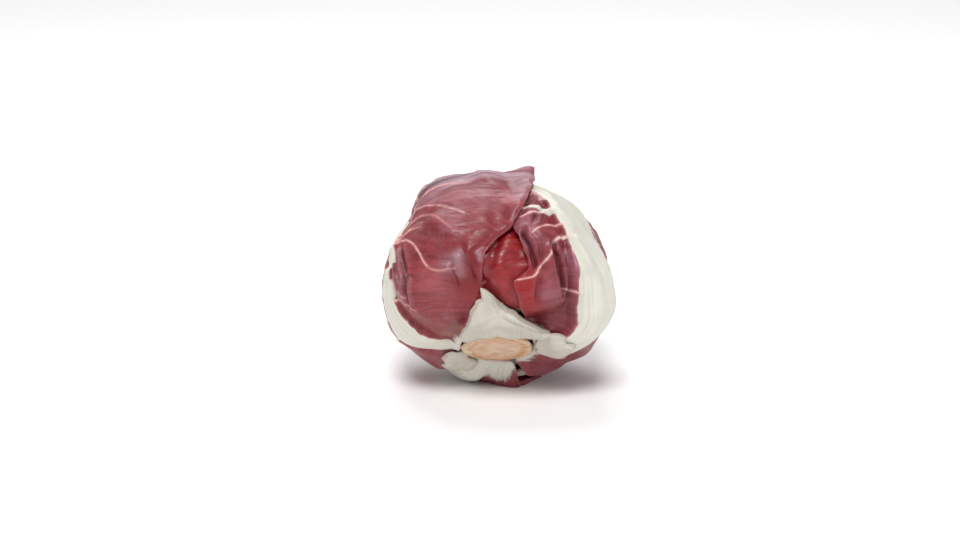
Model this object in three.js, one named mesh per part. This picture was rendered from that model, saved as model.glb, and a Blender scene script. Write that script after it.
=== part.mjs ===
// A head of red radicchio, lying on its side as it is sold: a tight heart, eight wrapper
// leaves laid one over the other, the cut stem and the stubs of the leaves pulled off it.
// Millimetres and degrees, +Z up. The head rests on z = 0 with its heart above the origin,
// its cut stem faces -Y and dips below the horizontal.
//
// Every leaf is a thin closed shell spread over the head from the heart's centre. A place on
// the head is a direction: its polar angle from the cut stem (0 at the stem, 180 at the crown)
// and its longitude round the stem (0 up the front, 90 to the right, 180 underneath).

import * as THREE from "three";

const centreHeight = 48.8; // from the surface it rests on to the heart's centre
const stemDip = 36; // how far the cut stem points below the horizontal
const heart = { across: 51.4, tall: 46.2, along: 46.4 }; // half its width, height and length
const hollow = { depth: 12.5, from: 20, to: 66, fill: 0.5 }; // round the stem, by polar angle
const flats = [
  { at: [135, 10], reach: 30, depth: 5.5 }, // over the crown, under the left leaf
  { at: [108, 84], reach: 26, depth: 4 }, // behind the right leaf's rib
  { at: [106, -76], reach: 28, depth: 4 }, // behind the left leaf's rib
];
const sag = { depth: 0.8, from: 0.6 }; // how far the heart is pressed flat underneath
const blade = 0.9; // thickness of a leaf's blade
const gap = 0.45; // air between one leaf and the next
const ridePast = 5; // how far past a hidden edge or rib the next leaf stays clear of it
const slope = 17; // and how far it takes to come down again
const foot = { radius: 14, reach: 14, fill: 3 }; // the flattened spot it rests on
const stem = { bottom: 34.2, face: 40.6, bottomRadius: 13.6, faceRadius: 16.6, slant: 18 };
const heartRows = 26; // of its mesh, from stem to crown

const toRadians = THREE.MathUtils.degToRad;
const smooth = THREE.MathUtils.smoothstep;

// The head's own axes: out of the cut stem, up the front, and to the right.
const dip = toRadians(stemDip);
const stemAxis = new THREE.Vector3(0, -Math.cos(dip), -Math.sin(dip));
const frontAxis = new THREE.Vector3(0, -Math.sin(dip), Math.cos(dip));
const rightAxis = new THREE.Vector3(1, 0, 0);
const centre = new THREE.Vector3(0, 0, centreHeight);

function direction([polar, longitude]) {
  const p = toRadians(polar);
  const l = toRadians(longitude);
  return new THREE.Vector3()
    .addScaledVector(stemAxis, Math.cos(p))
    .addScaledVector(frontAxis, Math.sin(p) * Math.cos(l))
    .addScaledVector(rightAxis, Math.sin(p) * Math.sin(l));
}

// How far out a level plane below the centre is, along a direction.
function levelAt(height, dir) {
  return dir.z < -0.2 ? height / -dir.z : Infinity;
}

function polarAngle(dir) {
  return THREE.MathUtils.radToDeg(Math.acos(THREE.MathUtils.clamp(dir.dot(stemAxis), -1, 1)));
}

// The hollow round the stem: less deep underneath, where thick leaf bases fill it.
function hollowDepth(dir) {
  const polar = polarAngle(dir);
  const longitude = Math.atan2(dir.dot(rightAxis), dir.dot(frontAxis));
  const under = (0.5 - 0.5 * Math.cos(longitude)) * smooth(polar, 24, 42);
  return hollow.depth * (1 - hollow.fill * under) * (1 - smooth(polar, hollow.from, hollow.to));
}

function flatDepth(dir) {
  return flats.reduce((sum, { at, reach, depth }) => {
    const away = THREE.MathUtils.radToDeg(dir.angleTo(direction(at)));
    return sum + depth * Math.exp(-((away / reach) ** 2));
  }, 0);
}

// The heart's smooth outline: an egg dented round the stem, flattened where the outer leaves
// press on it, and pressed flat underneath.
function heartRadius(dir) {
  const a = dir.dot(rightAxis) / heart.across;
  const b = dir.dot(frontAxis) / heart.tall;
  const c = dir.dot(stemAxis) / heart.along;
  const dent = hollowDepth(dir) + flatDepth(dir) + sag.depth * smooth(-dir.z, sag.from, 1);
  return 1 / Math.hypot(a, b, c) - dent;
}

// The inner leaves' edges, wound round the crown as steps in the heart's own surface.
function heartRelief(dir) {
  const longitude = Math.atan2(dir.dot(rightAxis), dir.dot(frontAxis));
  const turns = (longitude / (2 * Math.PI)) * 3 + polarAngle(dir) / 60;
  const step = turns - Math.floor(turns);
  return -1.4 * smooth(polarAngle(dir), 95, 130) * (1 - smooth(step, 0, 0.75) * (1 - smooth(step, 0.8, 1)));
}

// A flat map of the head round a leaf's middle: x to its right and y to its tip, in radians.
class LeafMap {
  constructor(middle, turn = 0) {
    this.middle = direction(middle);
    const tip = stemAxis.clone().multiplyScalar(-1);
    this.up = tip.addScaledVector(this.middle, -tip.dot(this.middle)).normalize();
    this.up.applyAxisAngle(this.middle, toRadians(turn));
    this.right = new THREE.Vector3().crossVectors(this.up, this.middle);
  }

  place(dir) {
    const away = Math.acos(THREE.MathUtils.clamp(dir.dot(this.middle), -1, 1));
    const x = dir.dot(this.right);
    const y = dir.dot(this.up);
    const flat = Math.hypot(x, y) || 1;
    return new THREE.Vector2((away * x) / flat, (away * y) / flat);
  }

  direction(x, y) {
    const away = Math.hypot(x, y);
    const share = away > 1e-9 ? Math.sin(away) / away : 1;
    return this.middle
      .clone()
      .multiplyScalar(Math.cos(away))
      .addScaledVector(this.right, x * share)
      .addScaledVector(this.up, y * share);
  }
}

// A closed outline round the middle of the map, as distance over angle: a smooth curve
// through the given points that never swings past them.
class Margin {
  constructor(points) {
    this.knots = points
      .map((p) => ({ angle: Math.atan2(p.y, p.x), away: p.length() }))
      .sort((a, b) => a.angle - b.angle);
    const n = this.knots.length;
    this.step = this.knots.map(({ angle }, i) => {
      const next = this.knots[(i + 1) % n].angle;
      return next > angle ? next - angle : next - angle + 2 * Math.PI;
    });
    const secant = this.knots.map(({ away }, i) => (this.knots[(i + 1) % n].away - away) / this.step[i]);
    this.tangent = this.knots.map((_, i) => {
      const before = secant[(i + n - 1) % n];
      return before * secant[i] > 0 ? (2 * before * secant[i]) / (before + secant[i]) : 0;
    });
  }

  away(angle) {
    const n = this.knots.length;
    let i = this.knots.findLastIndex((k) => k.angle <= angle);
    let along = angle - this.knots[(i + n) % n].angle;
    if (i < 0) {
      i = n - 1;
      along += 2 * Math.PI;
    }
    const h = this.step[i];
    const t = along / h;
    const from = this.knots[i].away;
    const to = this.knots[(i + 1) % n].away;
    return (
      from * (1 + 2 * t) * (1 - t) ** 2 +
      to * t * t * (3 - 2 * t) +
      this.tangent[i] * h * t * (1 - t) ** 2 +
      this.tangent[(i + 1) % n] * h * t * t * (t - 1)
    );
  }
}

class Leaf {
  constructor(name, look) {
    this.name = name;
    this.cells = look.cells ?? 16;
    this.colour = look.colour;
    this.blade = look.blade ?? blade;
    this.rib = look.rib;
    this.wave = look.wave ?? { height: 0.7, count: 8 };
    this.curls = look.curls ?? [];
    this.folds = look.folds ?? [];
    this.rests = look.rests ?? false;
    this.map = new LeafMap(look.middle, look.turn);
    this.margin = new Margin(look.margin(this.map));
    this.midrib = new THREE.SplineCurve(look.midrib(this.map)).getSpacedPoints(24);
  }

  // Distance from the midrib in millimetres, and how far along it, 0 at the base and 1 at the tip.
  fromMidrib(x, y) {
    let best = { away: Infinity, along: 0 };
    const spans = this.midrib.length - 1;
    for (let i = 0; i < spans; i++) {
      const a = this.midrib[i];
      const b = this.midrib[i + 1];
      const dx = b.x - a.x;
      const dy = b.y - a.y;
      const share = ((x - a.x) * dx + (y - a.y) * dy) / (dx * dx + dy * dy);
      const t = THREE.MathUtils.clamp(share, 0, 1);
      const away = Math.hypot(x - a.x - t * dx, y - a.y - t * dy) * centreHeight;
      if (away < best.away) best = { away, along: (i + t) / spans };
    }
    return best;
  }

  // How much the fleshy midrib adds to the blade. clear widens it, for a leaf that lies over it.
  ribHeight(x, y, clear = 0) {
    const { away, along } = this.fromMidrib(x, y);
    const width = THREE.MathUtils.lerp(this.rib.width, this.rib.tip ?? 1.5, Math.min(1, along * 1.1));
    const height = this.rib.height * (1 - along) ** (this.rib.taper ?? 0.8);
    return height * (1 - smooth(away, width * 0.25 + clear, width + clear * 1.8));
  }

  // How far the blade stands off what is under it: waved along its edge, curled and folded.
  lift(x, y) {
    const angle = Math.atan2(y, x);
    const share = Math.hypot(x, y) / this.margin.away(angle);
    const wave = 0.5 + 0.5 * Math.sin(angle * this.wave.count + this.map.middle.x);
    let total = smooth(share, 0.72, 1) * this.wave.height * wave;
    for (const curl of this.curls) total += this.curlHeight(curl, x, y);
    for (const fold of this.folds) total += this.foldHeight(fold, x, y);
    return total;
  }

  // A corner or stretch of the edge that stands up, centred on a place of the head.
  curlHeight(curl, x, y) {
    const at = this.map.place(direction(curl.at));
    const away = Math.hypot(x - at.x, y - at.y) * centreHeight;
    return curl.height * (1 - smooth(away, 0, curl.reach));
  }

  // Pleats across one side of the blade, fading out round their centre.
  foldHeight(fold, x, y) {
    const at = this.map.place(direction(fold.at));
    const dx = (x - at.x) * centreHeight;
    const dy = (y - at.y) * centreHeight;
    const turn = toRadians(fold.turn);
    const across = dx * Math.cos(turn) + dy * Math.sin(turn);
    const fade = 1 - smooth(Math.hypot(dx, dy), fold.reach * 0.4, fold.reach);
    return fade * fold.height * (0.5 + 0.5 * Math.sin((2 * Math.PI * across) / fold.pitch));
  }

  // The most that lift can be near a place, for a leaf that lies over it.
  liftBound(x, y) {
    const share = Math.hypot(x, y) / this.margin.away(Math.atan2(y, x));
    return this.wave.height * smooth(share, 0.5, 0.72);
  }

  // 1 over the leaf and just past its edge, down to 0 further out.
  cover(x, y) {
    const away = Math.hypot(x, y);
    const angle = Math.atan2(y, x);
    const edge = this.margin.away(angle);
    const near = this.margin.away(angle > 0 ? angle - 0.02 : angle + 0.02);
    const outside = ((away - edge) * centreHeight) / Math.hypot(1, (near - edge) / 0.02 / edge);
    return 1 - smooth(outside, ridePast, ridePast + slope);
  }

  // What it adds to the pile under a later leaf.
  pile(dir) {
    const { x, y } = this.map.place(dir);
    const cover = this.cover(x, y);
    if (!cover) return 0;
    return cover * (this.blade + gap + this.ribHeight(x, y, ridePast) + this.liftBound(x, y));
  }
}

// ---- drawing a leaf ----

// Points given as places of the head.
function places(list) {
  return (map) => list.map((p) => map.place(direction(p)));
}

// The usual wrapper leaf in its own map, in degrees: broad and round, narrowing to the stem.
function usualMargin({ wide, base, tip, bend }) {
  const side = [
    [0.16, 0.98],
    [0.4, 0.82],
    [0.72, 0.5],
    [0.95, 0.14],
    [1, -0.16],
    [0.9, -0.5],
    [0.66, -0.78],
    [0.34, -0.94],
  ];
  const points = [new THREE.Vector2(0, -base), new THREE.Vector2(bend / 2, tip)];
  for (const [x, y] of side) {
    const [shift, reach] = y > 0 ? [0, base] : [bend / 2, tip];
    points.push(new THREE.Vector2(shift + x * wide, -y * reach));
    points.push(new THREE.Vector2(shift - x * wide, -y * reach));
  }
  return () => points.map((p) => p.multiplyScalar(toRadians(1)));
}

function usualMidrib({ base, tip, bend }) {
  const point = (t) => new THREE.Vector2(bend * t * t, (base + tip) * t - base).multiplyScalar(toRadians(1));
  return () => [0, 0.15, 0.35, 0.6, 0.85].map(point);
}

// ---- the leaves, from the innermost out ----

const wine = "#7c2338";
const ivory = "#e6e6d8";

const hidden = [
  { name: "crown_leaf", middle: [112, 22], wide: 62, base: 74, tip: 92, bend: 8 },
  { name: "under_right_leaf", middle: [98, 160], wide: 62, base: 60, tip: 88, bend: -6 },
  { name: "top_left_leaf", middle: [94, -62], wide: 60, base: 60, tip: 88, bend: -8 },
  { name: "back_right_leaf", middle: [90, 75], wide: 62, base: 59, tip: 86, bend: 6 },
  { name: "under_left_leaf", middle: [84, -150], wide: 66, base: 56, tip: 80, bend: 5, rests: true },
].map(
  ({ name, middle, rests, ...shape }) =>
    new Leaf(name, {
      middle,
      margin: usualMargin(shape),
      midrib: usualMidrib(shape),
      rib: { width: 7, height: 1.6 },
      colour: wine,
      rests,
    }),
);

// The front leaf, seen between the two outer ones.
const front = new Leaf("front_leaf", {
  middle: [80, -12],
  margin: places([
    [28, -12], [29, 12], [38, 32], [52, 44], [75, 46], [100, 40], [125, 36], [146, 18],
    [150, -20], [132, -52], [105, -62], [78, -66], [52, -62], [36, -50], [29, -36],
  ]),
  midrib: places([[28, -12], [35, -20], [60, -24], [90, -22], [125, -14]]),
  rib: { width: 6, height: 1.2 },
  colour: "#9a2030",
  cells: 18,
});

// The outer right leaf: a heavy rib that swings up the right side and over the top.
const right = new Leaf("right_leaf", {
  middle: [85, 75],
  margin: places([
    [25, 122], [27, 92], [31, 66], [35, 42], [37, 29], [39, 21], [43, 16], [48, 12], [52, 10], [56, 14],
    [60, 17], [64, 16], [68, 13.5], [74, 10.5], [79, 8], [84, 6], [100, 0], [120, -12], [142, -20],
    [158, 10], [160, 80], [140, 112], [110, 122], [85, 128], [60, 136], [42, 146], [28, 152],
  ]),
  midrib: places([
    [27, 100], [34, 92], [43, 86], [51, 81], [58, 73], [64.5, 62], [71, 54], [78, 49], [86, 44.5], [91, 38],
    [97, 30], [104, 22], [112, 14], [120, 7],
  ]),
  rib: { width: 13.5, tip: 9, height: 7.5, taper: 0.4 },
  folds: [{ at: [60, 30], turn: 20, pitch: 16, height: 2, reach: 20 }],
  colour: wine,
  cells: 26,
});

// The outer left leaf: its rib runs up the left side, its blade crosses the front and
// ends in a torn edge whose top corner stands up.
const left = new Leaf("left_leaf", {
  middle: [88, -55],
  margin: places([
    [33, -92], [31.5, -72], [30.5, -48], [34, -26], [41, -16], [48, -11], [54, -10], [59, -9], [65, -7],
    [70, -4], [74, 0], [79, 6], [84, 9], [92, 12], [101, 14], [110, 16], [122, 21], [137, 28], [150, -10],
    [160, -60], [152, -115], [130, -132], [105, -136], [80, -138], [55, -136], [38, -130], [33, -114],
  ]),
  midrib: places([
    [32, -92], [42, -90], [52, -88], [66, -84], [76, -78], [85, -71], [92, -64], [100, -59], [108, -54],
    [118, -47], [128, -43],
  ]),
  rib: { width: 9, tip: 4, height: 4 },
  curls: [{ at: [137, 28], reach: 26, height: 7.6 }],
  colour: wine,
  cells: 24,
});

// What is left of the leaves pulled off round the stem, jagged where they tore.
const tornFront = new Leaf("torn_front_stub", {
  middle: [33, 0],
  margin: places([
    [24, 0], [24, -30], [25.5, -60], [28, -50], [31, -40], [34, -31], [37, -28], [40, -22], [43, -21],
    [46.5, -15], [48, -12], [45.5, -7], [42, 0], [38.5, 8], [36, 13], [35.5, 16.5], [38.5, 18], [35.5, 23],
    [32.5, 28], [31, 42], [33, 55], [35, 64], [30, 62], [26.5, 56], [24, 36],
  ]),
  midrib: places([[24, -2], [32, -5], [46, -10]]),
  rib: { width: 34, height: 7.5 },
  wave: { height: 0, count: 1 },
  blade: 1.4,
  cells: 14,
  colour: ivory,
});

const tornLeft = new Leaf("torn_left_stub", {
  middle: [31, -128],
  margin: places([
    [28, -128], [27.5, -106], [32, -104], [38, -116], [36, -124], [41, -132], [37, -143], [32, -152],
    [28.5, -148],
  ]),
  midrib: places([[28, -128], [32, -128], [39, -130]]),
  rib: { width: 7, height: 1.2 },
  wave: { height: 0, count: 1 },
  blade: 1.2,
  cells: 8,
  colour: ivory,
});

const tornRight = new Leaf("torn_right_stub", {
  middle: [32, 82],
  margin: places([
    [26, 82], [25.5, 66], [31, 62], [38, 67], [36, 76], [42, 84], [37, 95], [32, 104], [27, 102],
  ]),
  midrib: places([[26, 82], [31, 82], [39, 83]]),
  rib: { width: 7, height: 1.2 },
  wave: { height: 0, count: 1 },
  blade: 1.2,
  cells: 8,
  colour: ivory,
});

const leaves = [...hidden, front, right, left, tornLeft, tornRight, tornFront];

// How far out the pile under a leaf reaches along a direction.
function pileBelow(index, dir) {
  return leaves.slice(0, index).reduce((r, leaf) => r + leaf.pile(dir), heartRadius(dir));
}

// ---- solids ----

function solid(points, faces) {
  const geometry = new THREE.BufferGeometry();
  geometry.setAttribute("position", new THREE.Float32BufferAttribute(points, 3));
  geometry.setIndex(faces);
  geometry.computeVertexNormals();
  return geometry;
}

// A square grid bent onto a disc, so that its rim is the leaf's edge.
function onDisc(u, v) {
  return { x: u * Math.sqrt(1 - (v * v) / 2), y: v * Math.sqrt(1 - (u * u) / 2) };
}

// A closed shell over a grid: surface(u, v) gives the inner and outer point, u and v from -1 to 1.
function shell(cells, surface) {
  const side = cells + 1;
  const inner = [];
  const outer = [];
  for (let i = 0; i < side; i++) {
    for (let j = 0; j < side; j++) {
      const [a, b] = surface((2 * i) / cells - 1, (2 * j) / cells - 1);
      inner.push(a.x, a.y, a.z);
      outer.push(b.x, b.y, b.z);
    }
  }
  const at = (i, j) => i * side + j;
  const top = side * side;
  const faces = [];
  for (let i = 0; i < cells; i++) {
    for (let j = 0; j < cells; j++) {
      const [a, b, c, d] = [at(i, j), at(i + 1, j), at(i + 1, j + 1), at(i, j + 1)];
      const alongDiagonal = i < cells / 2 === j < cells / 2;
      const halves = alongDiagonal ? [[a, b, c], [a, c, d]] : [[a, b, d], [b, c, d]];
      for (const [p, q, r] of halves) faces.push(p + top, q + top, r + top, p, r, q);
    }
  }
  const rim = [];
  for (let i = 0; i < cells; i++) rim.push(at(i, 0));
  for (let j = 0; j < cells; j++) rim.push(at(cells, j));
  for (let i = cells; i > 0; i--) rim.push(at(i, cells));
  for (let j = cells; j > 0; j--) rim.push(at(0, j));
  rim.forEach((p, k) => {
    const q = rim[(k + 1) % rim.length];
    faces.push(p, q, q + top, p, q + top, p + top);
  });
  return solid([...inner, ...outer], faces);
}

function along(dir, radius) {
  return centre.clone().addScaledVector(dir, radius);
}

function leafShell(leaf, index) {
  return shell(leaf.cells, (u, v) => {
    const disc = onDisc(u, v);
    const share = Math.hypot(disc.x, disc.y);
    const angle = Math.atan2(disc.y, disc.x);
    const away = share * leaf.margin.away(angle);
    const x = away * Math.cos(angle);
    const y = away * Math.sin(angle);
    const dir = leaf.map.direction(x, y);
    const floor = levelAt(centreHeight, dir);
    const low = pileBelow(index, dir) + leaf.lift(x, y);
    let high = low + leaf.blade + leaf.ribHeight(x, y);
    if (leaf.rests) {
      const off = Math.hypot(dir.x, dir.y) * centreHeight;
      high += foot.fill * (1 - smooth(off, foot.radius, foot.radius + foot.reach));
    }
    return [along(dir, low), along(dir, Math.min(high, floor))];
  });
}

// The heart, in rows from the stem to the crown.
function heartSolid() {
  const round = heartRows * 2;
  const points = [];
  const surface = (polar, longitude) => {
    const dir = direction([polar, longitude]);
    return along(dir, heartRadius(dir) + heartRelief(dir) - 2 * gap).toArray();
  };
  points.push(...surface(0, 0));
  for (let i = 1; i < heartRows; i++) {
    for (let j = 0; j < round; j++) points.push(...surface((180 * i) / heartRows, (360 * j) / round));
  }
  points.push(...surface(180, 0));
  const last = points.length / 3 - 1;
  const at = (i, j) => 1 + (i - 1) * round + (j % round);
  const faces = [];
  for (let j = 0; j < round; j++) {
    faces.push(0, at(1, j + 1), at(1, j), last, at(heartRows - 1, j), at(heartRows - 1, j + 1));
    for (let i = 1; i < heartRows - 1; i++) {
      const [a, b, c, d] = [at(i, j), at(i + 1, j), at(i + 1, j + 1), at(i, j + 1)];
      faces.push(a, c, b, a, d, c);
    }
  }
  return solid(points, faces);
}

// The stem's stump, cut off aslant: the top of its face stands further out.
function stemSolid() {
  const long = stem.face - stem.bottom;
  const stump = new THREE.CylinderGeometry(stem.faceRadius, stem.bottomRadius, long, 40);
  const { position } = stump.attributes;
  const rise = Math.tan(toRadians(stem.slant));
  for (let i = 0; i < position.count; i++) {
    if (position.getY(i) > 0) position.setY(i, long / 2 - position.getZ(i) * rise);
  }
  const turned = new THREE.Matrix4().makeBasis(rightAxis, stemAxis, frontAxis.clone().negate());
  const middle = along(stemAxis, (stem.face + stem.bottom) / 2);
  return stump.applyMatrix4(turned.setPosition(middle));
}

function material(colour, roughness = 0.5) {
  return new THREE.MeshStandardMaterial({ color: colour, roughness, metalness: 0 });
}

const head = new THREE.Group();
function add(name, geometry, look) {
  const mesh = new THREE.Mesh(geometry, look);
  mesh.name = name;
  head.add(mesh);
}

add("heart", heartSolid(), material("#6d1f33", 0.55));
add("stem", stemSolid(), material("#cf9f74", 0.75));
leaves.forEach((leaf, index) => add(leaf.name, leafShell(leaf, index), material(leaf.colour)));

export default head;
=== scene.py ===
import math
from types import SimpleNamespace
import bpy
import numpy as np
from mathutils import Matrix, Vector


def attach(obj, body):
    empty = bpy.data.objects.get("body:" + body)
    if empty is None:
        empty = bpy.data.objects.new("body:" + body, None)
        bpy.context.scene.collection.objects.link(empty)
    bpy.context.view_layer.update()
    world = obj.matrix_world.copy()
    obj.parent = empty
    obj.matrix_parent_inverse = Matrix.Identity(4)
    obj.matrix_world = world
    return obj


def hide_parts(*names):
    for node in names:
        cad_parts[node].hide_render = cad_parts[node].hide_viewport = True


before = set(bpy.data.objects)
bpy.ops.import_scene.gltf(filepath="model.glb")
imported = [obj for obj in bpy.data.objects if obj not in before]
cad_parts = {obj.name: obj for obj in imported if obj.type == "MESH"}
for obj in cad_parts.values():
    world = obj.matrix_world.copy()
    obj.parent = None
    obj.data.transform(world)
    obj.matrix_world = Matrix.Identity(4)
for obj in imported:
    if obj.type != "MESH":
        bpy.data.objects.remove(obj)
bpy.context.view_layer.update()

mm = 0.001
headShape = {
    "centreHeight": 48.8,  # mm from the floor to the heart's centre
    "stemDip": 36,  # degrees the cut stem points below the horizontal
    "across": 48.4, "tall": 45.4, "along": 46,  # mm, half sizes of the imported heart
    "dentDepth": 11, "dentFrom": 20, "dentTo": 66,  # the hollow round the stem, mm deep, and degrees from it
    "dentFill": 0.5, "fillFrom": 24, "fillTo": 42,  # how much shallower the hollow is below the stem
    "sagDepth": 0.9, "sagFrom": 0.6,  # the underside, pressed by its own weight
    # where the leaves pull in or bulge: mm in, reach in degrees, and the place
    "flats": [
        (12, 30, (135, 10)), (3, 26, (108, 84)), (4.5, 28, (106, -76)), (6.5, 19, (90, 44)),
        (1.5, 12, (103, 36)), (-2.2, 14, (126, -46)), (-2.7, 13, (64, 70)), (8, 17, (97, 62)),
        (2, 9, (110, -50)), (-0.9, 22, (128, -2))],
    "leafRadius": 53,  # mm, where lengths along a leaf are measured
}

# mm along the stem from the heart's centre and across it, the cut's slant in degrees, and its unevenness
stemLook = {
    "bottom": 34.2, "face": 40.4, "bottomRadius": 13.5, "faceRadius": 17.1, "slant": 18,
    "around": 160, "rings": 60, "sideRings": 14, "lip": 0.8, "rounding": 0.35, "scar": 0.8, "dish": 0.6}

# Places on the head are directions from the heart's centre: degrees from the cut stem, and degrees round it,
# 0 up the front, 90 on the right and -90 on the left.
dip = math.radians(headShape["stemDip"])
stemAxis = np.array([0, -math.cos(dip), -math.sin(dip)])
frontAxis = np.array([0, -math.sin(dip), math.cos(dip)])
rightAxis = np.array([1.0, 0, 0])
centre = np.array([0, 0, headShape["centreHeight"]])


def smooth(value, low, high):
    t = np.clip((value - low) / (high - low), 0, 1)
    return t * t * (3 - 2 * t)


def headDirection(polar, longitude):
    # polar: degrees from the stem, longitude: 0 up the front, 90 to the right
    p = np.radians(polar)[..., None]
    turn = np.radians(longitude)[..., None]
    return np.cos(p) * stemAxis + np.sin(p) * (np.cos(turn) * frontAxis + np.sin(turn) * rightAxis)


def polarOf(dirs):
    return np.degrees(np.arccos(np.clip(dirs @ stemAxis, -1, 1)))


def longitudeOf(dirs):
    return np.degrees(np.arctan2(dirs @ rightAxis, dirs @ frontAxis))


def heartRadius(dirs):
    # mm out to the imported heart
    s = headShape
    egg = 1 / np.sqrt((dirs @ rightAxis / s["across"]) ** 2 + (dirs @ frontAxis / s["tall"]) ** 2
                      + (dirs @ stemAxis / s["along"]) ** 2)
    polar = polarOf(dirs)
    below = 0.5 - 0.5 * np.cos(np.radians(longitudeOf(dirs)))
    under = 1 - s["dentFill"] * below * smooth(polar, s["fillFrom"], s["fillTo"])
    dent = s["dentDepth"] * under * (1 - smooth(polar, s["dentFrom"], s["dentTo"]))
    for depth, reach, place in s["flats"]:
        away = np.degrees(np.arccos(np.clip(dirs @ headDirection(*np.array(place, float)), -1, 1)))
        dent = dent + depth * np.exp(-(away / reach) ** 2)
    return egg - dent - s["sagDepth"] * smooth(-dirs[..., 2], s["sagFrom"], 1)


def rimRadius(dirs):
    # out to the rim of the cut stem's slanted face
    s = stemLook
    turn = np.radians(longitudeOf(dirs))
    rise = s["faceRadius"] * math.tan(math.radians(s["slant"])) * np.cos(turn)
    return np.hypot(s["face"] - s["lip"] + rise, s["faceRadius"])


def floorRadius(dirs):
    # mm out to the floor, or as good as endless where a direction runs level or up
    down = -dirs[..., 2]
    return np.where(down > 0.2, headShape["centreHeight"] / np.maximum(down, 0.2), 1e6)


latticeSize = 64


def softNoise(x, y, seed):
    # seeded noise from 0 to 1, one bump per unit
    lattice = np.random.default_rng(seed).random((latticeSize, latticeSize))
    xi = np.floor(x).astype(int)
    yi = np.floor(y).astype(int)
    fx = x - xi
    fy = y - yi
    fx = fx * fx * (3 - 2 * fx)
    fy = fy * fy * (3 - 2 * fy)
    a, b, c, d = (lattice[(xi + i) % latticeSize, (yi + j) % latticeSize]
                  for i, j in ((0, 0), (1, 0), (0, 1), (1, 1)))
    return (a * (1 - fx) + b * fx) * (1 - fy) + (c * (1 - fx) + d * fx) * fy


def layeredNoise(x, y, seed, layers=3):
    # each layer twice as fine and half as strong
    total = 0
    weight = 0
    for k in range(layers):
        share = 0.5 ** k
        total = total + share * softNoise(x * 2 ** k + 7.3 * k, y * 2 ** k + 3.1 * k, seed + k)
        weight += share
    return total / weight


def blurGrid(grid, reach):
    # three box blurs, reach in cells
    reach = max(1, int(round(reach)))
    for _ in range(3):
        for axis in (0, 1):
            pad = [(0, 0), (0, 0)]
            pad[axis] = (reach + 1, reach)
            run = np.cumsum(np.pad(grid, pad, mode="edge"), axis=axis)
            n = 2 * reach + 1
            grid = (np.take(run, range(n, run.shape[axis]), axis)
                    - np.take(run, range(0, run.shape[axis] - n), axis)) / n
    return grid


def spreadGrid(grid, reach):
    # highest value within reach cells
    for _ in range(max(1, int(round(reach)))):
        padded = np.pad(grid, 1, mode="edge")
        grid = np.maximum.reduce([padded[1:-1, 1:-1], padded[:-2, 1:-1], padded[2:, 1:-1],
                                  padded[1:-1, :-2], padded[1:-1, 2:]])
    return grid


def smoothPath(points, steps=10):
    # a smooth curve through the points
    p = np.asarray(points, float)
    ends = np.vstack([2 * p[0] - p[1], p, 2 * p[-1] - p[-2]])
    t = np.linspace(0, 1, steps, endpoint=False)[:, None]
    out = []
    for i in range(len(p) - 1):
        a, b, c, d = ends[i:i + 4]
        out.append(0.5 * (2 * b + (c - a) * t + (2 * a - 5 * b + 4 * c - d) * t ** 2
                          + (3 * b - a - 3 * c + d) * t ** 3))
    return np.vstack(out + [p[-1:]])


def fromPath(x, y, path):
    # distance to a drawn path, and how far along it, 0 to 1
    best = np.full(x.shape, 1e9)
    along = np.zeros(x.shape)
    spans = len(path) - 1
    for i in range(spans):
        ax, ay = path[i]
        dx, dy = path[i + 1] - path[i]
        t = np.clip(((x - ax) * dx + (y - ay) * dy) / max(dx * dx + dy * dy, 1e-9), 0, 1)
        away = np.hypot(x - ax - t * dx, y - ay - t * dy)
        nearer = away < best
        best = np.where(nearer, away, best)
        along = np.where(nearer, (i + t) / spans, along)
    return best, along


def makeMap(middle):
    # a flat map of the head about a leaf's middle, its up side away from the stem
    mid = headDirection(np.float64(middle[0]), np.float64(middle[1]))
    up = -stemAxis - (-stemAxis @ mid) * mid
    up /= np.linalg.norm(up)
    return {"mid": mid, "up": up, "right": np.cross(up, mid)}


def placeOn(leafMap, dirs):
    # directions to places on the map, both in radians
    away = np.arccos(np.clip(dirs @ leafMap["mid"], -1, 1))
    x = dirs @ leafMap["right"]
    y = dirs @ leafMap["up"]
    flat = np.maximum(np.hypot(x, y), 1e-9)
    return away * x / flat, away * y / flat


def directionOn(leafMap, x, y):
    away = np.hypot(x, y)
    share = np.where(away > 1e-9, np.sin(away) / np.maximum(away, 1e-9), 1)
    return (np.cos(away)[..., None] * leafMap["mid"] + (x * share)[..., None] * leafMap["right"]
            + (y * share)[..., None] * leafMap["up"])


def placesOn(leafMap, places):
    # head degrees to millimetres on the leaf
    polar, longitude = np.array(places, float).T
    x, y = placeOn(leafMap, headDirection(polar, longitude))
    return np.stack([x, y], 1) * headShape["leafRadius"]


def makeMargin(points):
    # distance of the leaf's edge over the angle round its middle, a curve that never overshoots
    angle = np.arctan2(points[:, 1], points[:, 0])
    order = np.argsort(angle)
    angle = angle[order]
    away = np.hypot(points[:, 0], points[:, 1])[order]
    step = np.diff(np.append(angle, angle[0] + 2 * math.pi))
    secant = (np.roll(away, -1) - away) / step
    before = np.roll(secant, 1)
    product = before * secant
    tangent = np.where(product > 0, 2 * product / np.where(product > 0, before + secant, 1), 0)

    def marginAt(a):
        i = np.searchsorted(angle, a, side="right") - 1
        t = np.where(i < 0, a + 2 * math.pi, a) - angle[i]
        n = (i + 1) % len(angle)
        h = step[i]
        t = t / h
        return (away[i] * (1 + 2 * t) * (1 - t) ** 2 + away[n] * t * t * (3 - 2 * t)
                + tangent[i] * h * t * (1 - t) ** 2 + tangent[n] * h * t * t * (t - 1))

    return marginAt


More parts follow.
